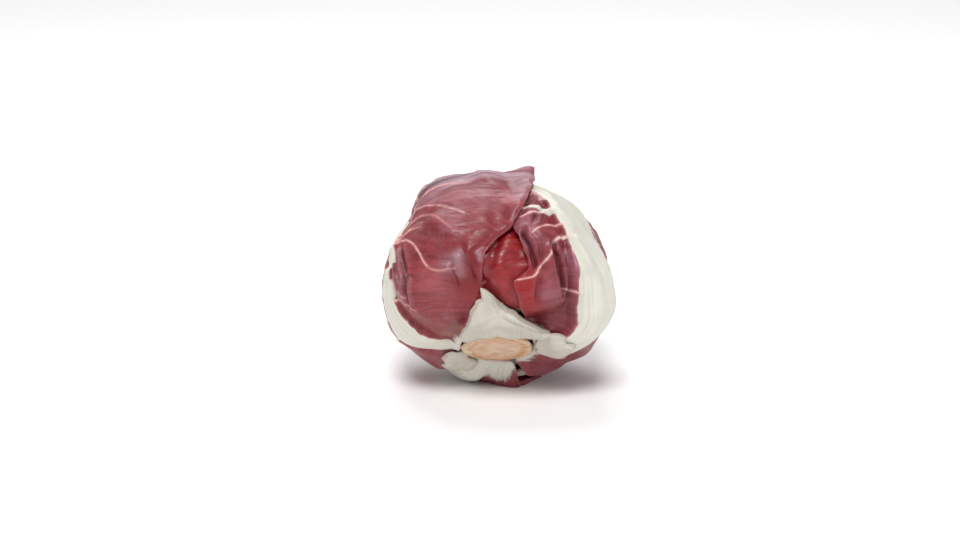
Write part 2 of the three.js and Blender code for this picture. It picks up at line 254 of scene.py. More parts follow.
def usualMargin(wide, base, tip, bend):
    # the usual wrapper leaf, degrees on its own map
    side = [(0.16, 0.98), (0.4, 0.82), (0.72, 0.5), (0.95, 0.14), (1, -0.16), (0.9, -0.5), (0.66, -0.78),
            (0.34, -0.94)]
    points = [(0, -base), (bend / 2, tip)]
    for x, y in side:
        shift, reach = (0, base) if y > 0 else (bend / 2, tip)
        points += [(shift + x * wide, -y * reach), (shift - x * wide, -y * reach)]
    return np.radians(np.array(points, float)) * headShape["leafRadius"]


def usualMidrib(base, tip, bend):
    # from its base to its tip, bent to one side
    points = [(bend * t * t, (base + tip) * t - base) for t in (0, 0.15, 0.35, 0.6, 0.85, 1)]
    return np.radians(np.array(points, float)) * headShape["leafRadius"]


# Leaves, from the innermost out. Lengths are in mm, places in degrees: from the stem, and round it.
# cells: grid squares across a leaf. blade: its thickness. gap: clear of what is below.
# drape: how stiffly it spans hollows. usual: a plain leaf's shape. margin, midrib: its own outline and rib.
# rib, teeth and fan rows start with the share along the midrib. rib: half width left and right, height.
# teeth: how ragged the rib's edge is. fan: white beyond the rib, left and right.
# drawnVeins: width at its start and end, path. tints: colour, painted highlight or painted shade, how much,
# reach, place or path.
# bumps and curls: height, reach, place. creases: depth, width, path.
plainRib = [(0, 9, 9, 2.2), (0.2, 6, 6, 2), (0.45, 3, 3, 1.3), (0.75, 1.3, 1.3, 0.6), (1, 0.6, 0.6, 0.3)]
plainVeins = {
    "from": 0.16, "to": 1.0, "apart": 8.5, "length": 46, "width": 1.2, "rise": 15, "reach": 13,
    "droop": 0.004, "flare": 1.8, "fork": (9, 20), "spread": (0.25, 0.45), "forkWidth": 0.65}
hiddenLook = {
    "cells": 130, "blade": 0.95, "gap": 0.6, "drape": 3, "rib": plainRib, "veins": plainVeins,
    "ruffle": 0.7, "jag": 0.5, "slot": "wrapper_leaves", "red": "wine"}

crownLeaf = {
    **hiddenLook, "name": "crownLeaf", "node": "crown_leaf", "middle": (112, 22), "seed": 11, "cells": 160,
    "usual": {"wide": 62, "base": 74, "tip": 92, "bend": 8}}
underRightLeaf = {
    **hiddenLook, "name": "underRightLeaf", "node": "under_right_leaf", "middle": (98, 160), "seed": 12,
    "usual": {"wide": 62, "base": 60, "tip": 88, "bend": -6}}
topLeftLeaf = {
    **hiddenLook, "name": "topLeftLeaf", "node": "top_left_leaf", "middle": (94, -62), "seed": 13,
    "usual": {"wide": 60, "base": 60, "tip": 88, "bend": -8}}
backRightLeaf = {
    **hiddenLook, "name": "backRightLeaf", "node": "back_right_leaf", "middle": (90, 75), "seed": 14,
    "usual": {"wide": 62, "base": 59, "tip": 86, "bend": 6}}
underLeftLeaf = {
    **hiddenLook, "name": "underLeftLeaf", "node": "under_left_leaf", "middle": (84, -150), "seed": 15,
    "cells": 170, "meets": {"from": 26, "to": 38},
    "margin": [
        (25.5, -150), (26, -125), (30, -112), (40, -108), (61, -96), (81, -86), (98, -81), (119, -82),
        (139, -87), (155, -102), (164, -144), (157, 171), (141, 153), (120, 148), (98, 146), (81, 146),
        (61, 152), (42, 160), (30, 158), (26, 172)],
    "midrib": [(26.5, -150), (47, -150), (75, -149), (109, -148), (143, -145), (164, -137)],
    "rib": [(0, 10, 10, 3), (0.2, 7, 7, 2.6), (0.45, 4, 4, 1.8), (0.75, 1.6, 1.6, 0.8), (1, 0.6, 0.6, 0.3)],
    "foot": {"radius": 14, "reach": 14, "fill": 3}}

# the bright leaf between the two outer ones
frontLeaf = {
    **hiddenLook, "name": "frontLeaf", "node": "front_leaf", "slot": "front_leaf", "middle": (80, -12),
    "seed": 16, "cells": 180, "red": "bright", "veins": {**plainVeins, "width": 0.5, "length": 14},
    "margin": [
        (28, -12), (29, 12), (38, 32), (52, 44), (75, 46), (100, 40), (125, 36), (146, 18), (150, -20),
        (132, -52), (105, -62), (78, -66), (52, -62), (36, -50), (29, -36)],
    "midrib": [(28, -12), (35, -20), (60, -24), (90, -22), (125, -14)],
    "bumps": [(1.6, 13, (62, 2)), (1.0, 9, (46, 8))],
    "creases": [(0.9, 2.2, [(84, 4), (74, 0), (62, -4), (50, -8)])]}

# the outer right leaf, with the heavy rib
rightLeaf = {
    "name": "rightLeaf", "node": "right_leaf", "slot": "wrapper_leaves", "middle": (85, 75), "seed": 17,
    "cells": 270, "blade": 1.0, "gap": 0.6, "drape": 5.5, "ruffle": 0.7, "jag": 0.35, "red": "wine",
    "paleTo": 36, "meets": {"from": 25, "to": 36},
    "margin": [
        (24, 122), (23.8, 92), (24.2, 66), (27, 42), (34.5, 28), (38, 20), (43, 16), (48, 12), (52, 10),
        (56, 14), (60, 17), (64, 16), (68, 13.5), (74, 10.5), (79, 8), (84, 6), (100, 0), (120, -12),
        (142, -20), (158, 10), (160, 80), (140, 112), (110, 122), (85, 128), (60, 136), (42, 146),
        (28, 152)],
    "midrib": [
        (27, 100), (34, 92), (43, 86), (51, 81), (58, 72), (64.5, 61), (71, 52.5), (77, 46), (82, 40),
        (86, 35), (90, 31), (96, 27), (102, 22), (110, 14), (120, 7)],
    "rib": [
        (0, 9, 9, 4.5), (0.12, 10, 10, 5.5), (0.3, 12.5, 13, 7.6), (0.42, 13, 17, 7.6),
        (0.5, 10.8, 24, 7.2), (0.57, 7.4, 30, 6.6), (0.63, 5.2, 34.5, 6), (0.7, 6, 35.5, 5.2),
        (0.78, 3.8, 31, 4.2), (0.86, 2.8, 20, 3), (0.95, 2, 9, 2), (1, 1, 5, 1.4)],
    "teeth": [(0, 0.3), (0.5, 0.25), (0.6, 0.4), (0.8, 0.8), (1, 1)],
    "fan": [
        (0, 0, 0), (0.45, 0, 0), (0.55, 0, 5), (0.66, 0, 9), (0.73, 0, 12), (0.8, 0, 13), (0.86, 0, 12),
        (0.93, 0, 8), (1, 0, 2)],
    "fingers": (-0.6, 3.2), "veins": {**plainVeins, "sides": "right", "apart": 9, "flare": 3},
    "drawnVeins": [
        (1.2, 0.4, [(80, 38), (78, 31), (74, 27), (70, 26.5), (65, 25), (61, 22.5), (58, 22), (56, 20),
                    (54, 14), (53, 10)]),
        (1.0, 0.2, [(84, 34), (84, 30), (82, 25), (80, 21), (78, 18), (76, 16)]),
        (4.6, 1.4, [(87, 34), (88.3, 29), (89.2, 24), (90, 17), (90, 10)]),
        (1.6, 0.6, [(88.5, 24), (87.6, 19), (86.6, 14.5), (85, 11)]),
        (1.8, 0.5, [(94, 27), (96.5, 22), (100, 19.5), (102, 17.5), (103, 14)]),
        (2.4, 0.8, [(99, 25), (103, 19), (105, 14)]),
        (0.8, 0.2, [(57, 50), (56, 43), (55, 39), (53, 40)])],
    "tints": [
        ("bright", 1.0, 12, [(51, 16)]), ("bright", 0.9, 9, [(45, 24)]), ("mauve", 1.0, 8, [(82, 10)]),
        ("mauve", 0.7, 6, [(72, 14)]), ("mauve", 1.0, 3.5, [(70, 38)]), ("mauve", 1.0, 3.5, [(65, 41)]),
        ("deep", 0.9, 5, [(85, 19)]), ("deep", 0.8, 5, [(95, 18)]), ("mauve", 0.8, 5, [(50, 34)]),
        ("deep", 0.6, 12, [(46, 52)]), ("browned", 0.85, 1.5, [(104.8, 16), (104.5, 19.5), (103.5, 22)]),
        ("haze", 0.15, 7, [(57, 31)])],
    "bumps": [(2.2, 15, (74, 21)), (1.4, 12, (48, 32)), (1.4, 14, (90, 18)), (2.2, 9, (64, 40))],
    "creases": [
        (2.8, 1.1, [(77, 28), (71, 27.5), (68, 30), (64, 33), (60, 36), (56, 39), (53, 43)]),
        (1.8, 0.9, [(74, 34), (68, 36), (62, 39), (56, 44), (50, 50)]),
        (2.2, 0.9, [(78, 12), (74, 13), (70, 16), (66, 18), (62, 20), (59, 21)]),
        (0.7, 1.0, [(72, 20), (66, 22), (60, 27)]),
        (1.0, 1.2, [(58, 24), (50, 26), (43, 30)]),
        (0.8, 1.0, [(92, 22), (86, 18), (80, 16)]),
        (0.8, 1.0, [(98, 17), (93, 14), (86, 11)])]}

# the outer left leaf, torn off straight across the front, its top corner standing up
leftLeaf = {
    "name": "leftLeaf", "node": "left_leaf", "slot": "wrapper_leaves", "middle": (88, -55), "seed": 18,
    "cells": 270, "blade": 1.0, "gap": 0.7, "drape": 5, "ruffle": 0.35, "jag": 0.4, "red": "mauve",
    "paleTo": 33, "meets": {"from": 25, "to": 36},
    "margin": [
        (24, -94), (23.6, -72), (24, -50), (33, -26), (41, -16), (48, -11), (54, -10), (59, -9), (65, -7),
        (70, -4), (74, 0), (79, 6), (84, 9), (92, 12.5), (101, 15.5), (110, 18.5), (122, 23), (133, 25.4),
        (136, 27.3), (138.5, 22.5), (150, -10), (160, -60), (152, -115), (130, -132), (105, -136),
        (80, -138), (55, -136), (38, -130), (30, -114)],
    "midrib": [
        (32, -92), (42, -90), (52, -88), (66, -84), (76, -78), (85, -71), (92, -64), (100, -59), (108, -54),
        (118, -47), (128, -43), (138, -40)],
    "rib": [
        (0, 5, 7, 3.4), (0.12, 6.5, 8, 4.2), (0.25, 7.5, 8, 4.2), (0.38, 6.2, 7.4, 3.4),
        (0.46, 4.4, 6.2, 2.2), (0.54, 2.6, 5, 1.4), (0.62, 1, 3.4, 1), (0.68, 0.3, 1.8, 0.7),
        (0.74, -4, -4, 0.3), (1, -4, -4, 0.3)],
    "teeth": [(0, 0.5), (0.3, 0.6), (0.5, 0.8), (0.6, 0.4), (1, 0.2)],
    "fan": [
        (0, 0, 0), (0.3, 1, 0), (0.33, 2, 0), (0.4, 5, 3), (0.43, 6, 0.5), (0.46, 7, -2.6), (0.49, 6, 1),
        (0.53, 5, 5), (0.56, 4, 0.5), (0.58, 3, -1), (0.62, 1, 0), (0.7, 0, 0.6), (0.74, 0, 0)],
    "veins": {**plainVeins, "sides": "left", "apart": 9, "flare": 3},
    "drawnVeins": [
        (0.8, 0.3, [(108, -49), (111.5, -44), (114, -40), (116, -34.5), (116, -28), (114.5, -21),
                    (113.5, -15)]),
        (0.7, 0.3, [(104, -58), (106, -50), (102, -42), (98, -33), (94, -26), (88, -16)]),
        (0.6, 0.1, [(94, -60), (97, -48), (94, -38), (89, -30), (80, -22)]),
        (0.9, 0.3, [(87, -68), (91, -60), (88, -52), (82, -46), (76, -43), (70, -41), (65, -38), (62, -32),
                    (61, -24)]),
        (1.1, 0.2, [(90, -66), (93, -57), (93, -49), (89, -40)]),
        (0.7, 0.1, [(92, -62), (94, -52), (93, -44), (90, -38)]),
        (1.0, 0.2, [(80, -76), (72, -66), (65, -64), (60, -61)]),
        (0.9, 0.2, [(66, -74), (62, -67), (57, -63), (52, -60)])],
    "tints": [
        ("mauve", 1.0, 26, [(133, -10)]), ("mauve", 0.8, 14, [(118, 16)]), ("dark", 0.8, 9, [(78, -4)]),
        ("dark", 1.0, 12, [(66, -12)]), ("dark", 1.0, 10, [(54, -17)]), ("mauve", 0.8, 4.5, [(64, -28)]),
        ("mauve", 0.9, 3, [(66, -21)]), ("browned", 0.45, 5, [(33, -70)]),
        ("dusk", 0.8, 2.9, [(113, -49), (117, -43), (120, -38), (122, -33), (124, -28)]),
        ("dusk", 0.8, 2.4, [(122.5, -32), (124, -25), (125.5, -17)]),
        ("haze", 0.9, 3.4, [(122, -26), (123.5, -14), (123, 0), (122.5, 10), (124, 18)]),
        ("haze", 0.7, 1.8, [(115, -10), (114, 0), (113, 8), (113, 14)]),
        ("dusk", 0.7, 0.9, [(119, -18), (118.5, -8), (118, 2), (117, 9), (118, 15)]),
        ("dusk", 0.5, 0.8, [(110.5, -6), (110, 3), (109.5, 12)]),
        ("haze", 0.5, 4, [(110, 13), (104, 13), (97, 11)]),
        ("bright", 0.5, 5, [(67, -12), (58, -14), (50, -17), (46, -22)]),
        ("haze", 0.45, 2.4, [(66.5, -21.5), (62, -21.5), (58, -22)]),
        ("haze", 0.7, 1.3, [(66, -10), (63, -9.5)]), ("browned", 0.6, 4, [(31, -52)]),
        ("light", 0.8, 6, [(58, -38)]), ("light", 0.5, 5, [(64, -40)])],
    "pleats": {"at": (118, -18), "reach": 34, "depth": 2.6, "apart": 4.2},
    "curls": [(4.8, 25, (135, 27)), (1.7, 11, (137, 28))],
    "bumps": [(1.8, 7, (62, -29)), (1.6, 4, (65, -21)), (1.6, 12, (60, -46)), (1.2, 16, (84, -32))],
    "creases": [
        (2.8, 1.1, [(89, -55), (82, -55), (75, -54), (68, -54), (62, -58), (56, -62)]),
        (2.0, 1.0, [(88, -61), (81, -60), (73, -59), (66, -61)]),
        (0.9, 1.0, [(64, -25), (60, -25.5), (55, -25), (51, -26)]),
        (0.5, 1.3, [(70, -18), (64, -17), (58, -16), (52, -16)])]}

stubRib = [(0, 9, 9, 0.9), (0.5, 6, 6, 0.6), (1, 3, 3, 0.3)]
stubLook = {
    "blade": 1.0, "gap": 0.2, "drape": 4, "ruffle": 0, "jag": 0.9, "slot": "torn_stubs", "red": "ivory",
    "rib": stubRib, "white": True}
tornLeftStub = {
    **stubLook, "name": "tornLeftStub", "node": "torn_left_stub", "middle": (31, -128), "seed": 21,
    "cells": 90,
    "margin": [
        (25, -128), (24.6, -108), (30, -103), (36, -109), (35, -116), (39, -122), (37, -130), (40, -137),
        (34, -141), (35, -148), (28.5, -150)],
    "midrib": [(28, -128), (32, -128), (39, -130)]}
tornRightStub = {
    **stubLook, "name": "tornRightStub", "node": "torn_right_stub", "middle": (32, 82), "seed": 22,
    "cells": 90,
    "margin": [
        (24.2, 82), (24, 68), (29, 60), (35, 63), (39, 69), (37.5, 75), (40, 80), (41, 86), (37.5, 92),
        (34, 101), (27, 102)],
    "midrib": [(26, 82), (31, 82), (39, 83)]}
tornFrontStub = {
    **stubLook, "name": "tornFrontStub", "node": "torn_front_stub", "middle": (33, 0), "seed": 23,
    "cells": 150, "jag": 0.45, "drape": 7, "spread": 1.1, "filled": True, "meets": {"from": 21, "to": 33},
    "margin": [
        (20.3, 0), (20.6, -30), (23, -60), (27.5, -54), (28.5, -48), (31, -36), (33.5, -30), (37.5, -25),
        (41, -19), (43, -17), (43.5, -13), (46, -12.5), (49, -12), (47.5, -9), (45, -5), (41, 0), (38, 6),
        (36.3, 11), (35.6, 17), (34, 22), (32.8, 28), (32.5, 35), (32.5, 44), (33, 52), (35, 60), (31, 60),
        (27, 56), (21.3, 36)],
    "midrib": [(22, -2), (32, -5), (46, -10)],
    "rib": [(0, 40, 40, 7.0), (0.25, 34, 34, 5.2), (0.5, 26, 26, 3.2), (1, 10, 10, 0.8)]}

leaves = [
    crownLeaf, underRightLeaf, topLeftLeaf, backRightLeaf, underLeftLeaf, frontLeaf, rightLeaf, leftLeaf,
    tornLeftStub, tornRightStub, tornFrontStub]


def discGrid(cells):
    # a square grid bent onto a disc: share of the way out, and angle
    u, v = np.meshgrid(np.linspace(-1, 1, cells + 1), np.linspace(-1, 1, cells + 1), indexing="ij")
    x = u * np.sqrt(1 - v * v / 2)
    y = v * np.sqrt(1 - u * u / 2)
    return np.hypot(x, y), np.arctan2(y, x)


def squareFromDisc(x, y):
    # the same bend undone
    root8 = 2 * math.sqrt(2)
    wide = 2 + x * x - y * y
    tall = 2 - x * x + y * y
    u = (np.sqrt(np.maximum(wide + root8 * x, 0)) - np.sqrt(np.maximum(wide - root8 * x, 0))) / 2
    v = (np.sqrt(np.maximum(tall + root8 * y, 0)) - np.sqrt(np.maximum(tall - root8 * y, 0))) / 2
    return u, v


def sampleLeaf(leaf, dirs):
    # a finished leaf's outer radius along these directions, 0 where it isn't
    x, y = placeOn(leaf["map"], dirs)
    angle = np.arctan2(y, x)
    share = np.hypot(x, y) * headShape["leafRadius"] / leaf["marginAt"](angle)
    u, v = squareFromDisc(np.clip(share, 0, 1) * np.cos(angle), np.clip(share, 0, 1) * np.sin(angle))
    n = leaf["cells"]
    gridU = np.clip((u + 1) / 2 * n, 0, n - 1e-6)
    gridV = np.clip((v + 1) / 2 * n, 0, n - 1e-6)
    i = gridU.astype(int)
    j = gridV.astype(int)
    fu = gridU - i
    fv = gridV - j
    outer = leaf["outer"]
    value = ((outer[i, j] * (1 - fu) + outer[i + 1, j] * fu) * (1 - fv)
             + (outer[i, j + 1] * (1 - fu) + outer[i + 1, j + 1] * fu) * fv)
    return np.where(share <= 1, value, 0)


def restingRadius(leaf, below, dirs, cell):
    # what lies under the leaf, softened as a stiff leaf spans its hollows, and the same unsoftened
    raw = heartRadius(dirs)
    for other in below:
        raw = np.maximum(raw, sampleLeaf(other, dirs))
    rest = blurGrid(spreadGrid(raw, leaf["drape"] * leaf.get("spread", 0.6) / cell),
                    leaf["drape"] * 0.5 / cell)
    for _ in range(3):  # lifted where it still cuts into what is below
        short = np.maximum(raw + 0.15 - rest, 0)
        rest = rest + blurGrid(spreadGrid(short, 0.9 / cell), 0.6 / cell)
    return rest + leaf["gap"], raw + leaf["gap"]


ribLead = {"before": 60, "beyond": 90}  # mm that the rib's line runs on straight past its ends


def ribFrame(leaf, x, y):
    # mm along the midrib and across it, positive on the leaf's right, and the rib's whole length
    path = smoothPath(leaf["midribPath"], 4)
    first = path[0] + (path[0] - path[1]) / np.linalg.norm(path[0] - path[1]) * ribLead["before"]
    last = path[-1] + (path[-1] - path[-2]) / np.linalg.norm(path[-1] - path[-2]) * ribLead["beyond"]
    path = np.vstack([first, path, last])
    length = np.linalg.norm(np.diff(path, axis=0), axis=1)
    start = np.concatenate([[0], np.cumsum(length)])[:-1] - ribLead["before"]
    nearest = np.full(x.shape, 1e9)
    found = []
    for i in range(len(path) - 1):
        d = (path[i + 1] - path[i]) / length[i]
        fromX = x - path[i, 0]
        fromY = y - path[i, 1]
        t = np.clip(fromX * d[0] + fromY * d[1], 0, length[i])
        away = np.hypot(fromX - t * d[0], fromY - t * d[1])
        found.append((away, start[i] + t, fromX * d[1] - fromY * d[0]))
        nearest = np.minimum(nearest, away)
    weighed = np.zeros(x.shape)
    weights = np.zeros(x.shape)
    sign = np.zeros(x.shape)
    for away, along, side in found:  # nearly as near spans share in it, so that bends leave no seam
        weight = np.exp(-(away - nearest) / (1.2 + 0.12 * nearest))
        weighed += weight * along
        weights += weight
        sign += np.exp(-(away - nearest) / 0.3) * np.sign(side)
    return weighed / weights, nearest * np.sign(sign), start[-1]


def layOutLeaf(leaf):
    # a leaf's flat grid: its ragged edge, its rib, and the lines that its side veins follow
    seed = leaf["seed"]
    leaf["map"] = makeMap(leaf["middle"])
    if "usual" in leaf:
        leaf["marginAt"] = makeMargin(usualMargin(**leaf["usual"]))
        leaf["midribPath"] = usualMidrib(leaf["usual"]["base"], leaf["usual"]["tip"], leaf["usual"]["bend"])
    else:
        leaf["marginAt"] = makeMargin(placesOn(leaf["map"], leaf["margin"]))
        leaf["midribPath"] = placesOn(leaf["map"], leaf["midrib"])
    share, angle = discGrid(leaf["cells"])
    margin = leaf["marginAt"](angle)
    flat = SimpleNamespace(seed=seed, cell=2 * np.mean(margin) / leaf["cells"], edge=margin * (1 - share))
    flat.arc = angle * np.mean(margin)
    ragged = (layeredNoise(flat.arc / 3.1 + 40, flat.arc * 0, seed + 3, 3) - 0.5) * 2 * leaf["jag"]
    away = share * margin + ragged * share ** 8
    flat.x = away * np.cos(angle)
    flat.y = away * np.sin(angle)
    flat.dirs = directionOn(leaf["map"], flat.x / headShape["leafRadius"], flat.y / headShape["leafRadius"])
    flat.polar = polarOf(flat.dirs)

    flat.along, flat.across, flat.total = ribFrame(leaf, flat.x, flat.y)
    flat.sideways = np.abs(flat.across)
    flat.share = np.clip(flat.along / flat.total, 0, 1)
    rib = np.array(leaf["rib"], float)
    flat.half = np.where(flat.across > 0, np.interp(flat.share, rib[:, 0], rib[:, 2]),
                         np.interp(flat.share, rib[:, 0], rib[:, 1]))
    flat.height = np.interp(flat.share, rib[:, 0], rib[:, 3])
    flat.fadeTip = 1 - smooth(flat.along / flat.total, 0.97, 1.1)

    flat.veins = {**plainVeins, **leaf.get("veins", {})}
    bend = (flat.veins["rise"] * (1 - np.exp(-flat.sideways / flat.veins["reach"]))
            - flat.veins["droop"] * flat.sideways ** 2)
    wander = (layeredNoise(flat.along / 22 + 5, flat.across / 16 + 9, seed + 5, 2) - 0.5) * 5
    flat.line = flat.along - bend + wander * smooth(flat.sideways, 3, 16)  # the same all along one side vein

    # the base pales towards the stem
    paleTo = leaf.get("paleTo", 41)
    fray = (layeredNoise(flat.across / 3, flat.line / 30, seed + 9) - 0.5) * 9
    flat.pale = 1 - smooth(flat.polar + fray, paleTo - 11, paleTo)
    return flat


# how far past its half width a rib's round goes, its ragged edge, and the grooves along it
ribFinish = {"round": 1.12, "teeth": (0.8, 0.3), "grooveDepth": 0.07, "grooveApart": (0.32, 0.2)}


def raiseRib(leaf, flat):
    # white: half the mm in from the rib's edge, 0.5 on the edge itself. tone: how ivory the white is.
    reach = np.maximum(flat.half * ribFinish["round"], 0.1)
    profile = np.sqrt(np.maximum(1 - np.clip(flat.sideways / reach, 0, 1) ** 2, 0))
    toothRows = np.array(leaf.get("teeth", [(0, 1), (1, 1)]), float)
    teeth = ((layeredNoise(flat.line / 5.5, flat.across * 0 + 2, flat.seed + 6, 4) - 0.5)
             * (ribFinish["teeth"][0] + ribFinish["teeth"][1] * flat.half)
             * np.interp(flat.share, toothRows[:, 0], toothRows[:, 1]))
    fan = np.array(leaf.get("fan", [(0, 0, 0), (1, 0, 0)]), float)
    least, more = leaf.get("fingers", (0.8, 0.6))
    fingers = layeredNoise(flat.line / 6.5, flat.across * 0 + 5, flat.seed + 16, 3)
    fingers = np.maximum(least + more * fingers, 0)
    onRight = smooth(flat.across, -1, 1)
    wider = (np.interp(flat.share, fan[:, 0], fan[:, 1]) * (1 - onRight)
             + np.interp(flat.share, fan[:, 0], fan[:, 2]) * onRight * fingers)
    flat.white = 0.5 - (flat.sideways + teeth - flat.half * 0.92 - wider) / 2 - (1 - flat.fadeTip)
    flat.tone = np.ones(flat.x.shape)
    flat.veinHeight = np.zeros(flat.x.shape)
    apart = ribFinish["grooveApart"][0] + ribFinish["grooveApart"][1] * flat.half
    wave = flat.across / apart * 2.2 + 2 * softNoise(flat.along / 18, flat.across / 3, flat.seed + 7)
    grooves = 0.5 + 0.5 * np.sin(wave)
    flat.raised = (flat.height * profile * flat.fadeTip
                   * (1 - ribFinish["grooveDepth"] * grooves * smooth(flat.height, 1, 4)))


def addVein(flat, width, field, height):
    # thin veins stay pinker than thick ones
    flat.tone = np.where(field > flat.white, np.clip(width / 2.4, 0.25, 1), flat.tone)
    flat.white = np.maximum(flat.white, field)
    flat.veinHeight = np.maximum(flat.veinHeight, height)


def growSideVeins(flat):
    # side veins by rule, forking once
    v = flat.veins
    flare = v["flare"] * np.clip(flat.half / 4, 0, 1)
    slant = np.sqrt(1 + (v["rise"] / v["reach"] * np.exp(-flat.sideways / v["reach"])) ** 2)
    offRib = smooth(flat.sideways, flat.half * 0.8, flat.half + 2)
    nearRib = np.exp(-np.maximum(flat.sideways - flat.half * 0.7, 0) / 3.2)
    rng = np.random.default_rng(flat.seed)
    for side in {"both": (-1, 1), "left": (-1,), "right": (1,)}[v.get("sides", "both")]:
        here = flat.across * side > -1
        position = v["from"] * flat.total
        while position < v["to"] * flat.total:
            reach = v["length"] * rng.uniform(0.7, 1.15)
            wide = v["width"] * rng.uniform(0.7, 1.25) * (1 - 0.45 * position / flat.total)
            fork = rng.uniform(*v["fork"])
            remaining = (1 - np.clip((flat.sideways - flat.half * 0.6) / reach, 0, 1)) ** 0.8
            for spread in (0, rng.choice([-1, 1]) * rng.uniform(*v["spread"])):
                away = np.abs(flat.line - position - spread * np.maximum(flat.sideways - fork, 0)) / slant
                width = wide * remaining + flare * nearRib
                if spread:
                    width = np.where(flat.sideways > fork, v["forkWidth"] * wide * remaining, 0)
                # never thinner than the grid can show
                width = np.maximum(width, 1.15 * flat.cell * smooth(width, 0.1, 0.45))
                thin = 1 - smooth(width, 0.3 * flat.cell, 1.1 * flat.cell)
                field = 0.5 - (away - width / 2) / 2 - thin * 0.5 - (1 - here) - (1 - flat.fadeTip)
                ridge = np.exp(-(away / (0.5 + 0.55 * width)) ** 2) * np.minimum(width, 2) * 0.38
                addVein(flat, width, field, ridge * here * offRib)
            position += v["apart"] * rng.uniform(0.75, 1.25)


def drawVeins(leaf, flat):
    # the veins that have a course of their own, wider where they leave the rib
    for first, last, path in leaf.get("drawnVeins", []):
        away, share = fromPath(flat.x, flat.y, smoothPath(placesOn(leaf["map"], path)))
        width = first + (last - first) * share ** 0.6 + 1.6 * np.exp(-share / 0.06) * (first / 2.5)
        wobble = (softNoise(flat.x / 1.6, flat.y / 1.6, flat.seed + 8) - 0.5) * 0.3
        field = 0.5 - (away + wobble - width / 2) / 2
        addVein(flat, width, field, np.exp(-(away / (0.45 + 0.5 * width)) ** 2) * np.minimum(width, 2) * 0.5)


def awayFrom(leaf, flat, *course):
    # mm from a place on the leaf, or from a path through several
    places = placesOn(leaf["map"], course)
    if len(places) > 1:
        return fromPath(flat.x, flat.y, smoothPath(places, 4))[0]
    return np.hypot(flat.x - places[0, 0], flat.y - places[0, 1])


def pleatBlade(leaf, flat):
    # folds that run across the leaf, with painted highlight on their tops and painted shade between them
    pleat = leaf["pleats"]
    near = np.exp(-(awayFrom(leaf, flat, pleat["at"]) / pleat["reach"]) ** 2)
    longitude = longitudeOf(flat.dirs)
    bent = flat.polar / pleat["apart"] + 1.4 * softNoise(longitude / 22 + 4, flat.polar / 18, flat.seed + 15)
    bands = layeredNoise(bent, longitude / 34, flat.seed + 14, 3)
    flat.haze = smooth(bands, 0.42, 0.58) * np.minimum(near * 1.3, 1) * smooth(flat.polar, 104, 124)
    flat.dim = smooth(1 - bands, 0.48, 0.62) * near
    return pleat["depth"] * (bands - 0.5) * near


# mm: how far a blade stands off, and the heights and spacings of its unevenness
bladeLie = {
    "lift": 0.4, "swell": 1.6, "swellApart": 26, "pucker": 0.9, "puckerApart": 4.2, "puckerLength": 17,
    "ruffle": 2.4, "ruffleReach": 11}


def liftBlade(leaf, flat):
    # how the blade lies: bulged, curled, creased, pleated, puckered between its veins, ruffled at the edge
    b = bladeLie
    onRib = (1 - smooth(flat.sideways, flat.half, flat.half + 5)) * smooth(flat.height, 1.2, 4) * flat.fadeTip
    swell = layeredNoise(flat.x / b["swellApart"] + 3, flat.y / b["swellApart"] + 6, flat.seed + 10, 2) - 0.5
    lift = b["lift"] + swell * b["swell"] * (1 - 0.8 * onRib)
    pucker = layeredNoise(flat.line / b["puckerApart"], flat.across / b["puckerLength"], flat.seed + 11, 3)
    offRib = smooth(flat.sideways, flat.half, flat.half + 7)
    lift = lift + pucker * b["pucker"] * offRib * (1 - 0.7 * flat.pale)
    for height, reach, place in leaf.get("bumps", []):
        lift = lift + height * np.exp(-(awayFrom(leaf, flat, place) / (reach * 0.7)) ** 2)
    for height, reach, place in leaf.get("curls", []):
        lift = lift + height * (1 - smooth(awayFrom(leaf, flat, place), 0, reach))
    flat.shadow = np.zeros(flat.x.shape)
    for depth, width, path in leaf.get("creases", []):
        away, share = fromPath(flat.x, flat.y, smoothPath(placesOn(leaf["map"], path)))
        ends = smooth(share, 0, 0.15) * (1 - smooth(share, 0.8, 1))
        valley = np.exp(-(away / width) ** 2)
        shoulder = np.exp(-((away - width * 2) / (width * 1.3)) ** 2)
        flat.shadow = np.maximum(flat.shadow, valley * ends * np.clip(depth / 2.8, 0, 1))
        lift = lift + depth * (0.45 * shoulder - valley) * (0.35 + 0.65 * ends)
    flat.haze = np.zeros(flat.x.shape)
    flat.dim = np.zeros(flat.x.shape)
    if "pleats" in leaf:
        lift = lift + pleatBlade(leaf, flat)
    flute = np.maximum(layeredNoise(flat.arc / 9, flat.edge / 30, flat.seed + 12, 2) - 0.35, 0)
    lift = lift + leaf["ruffle"] * b["ruffle"] * flute * (1 - smooth(flat.edge, 0, b["ruffleReach"]))
    return np.maximum(lift, 0) if leaf["ruffle"] else lift * 0.3


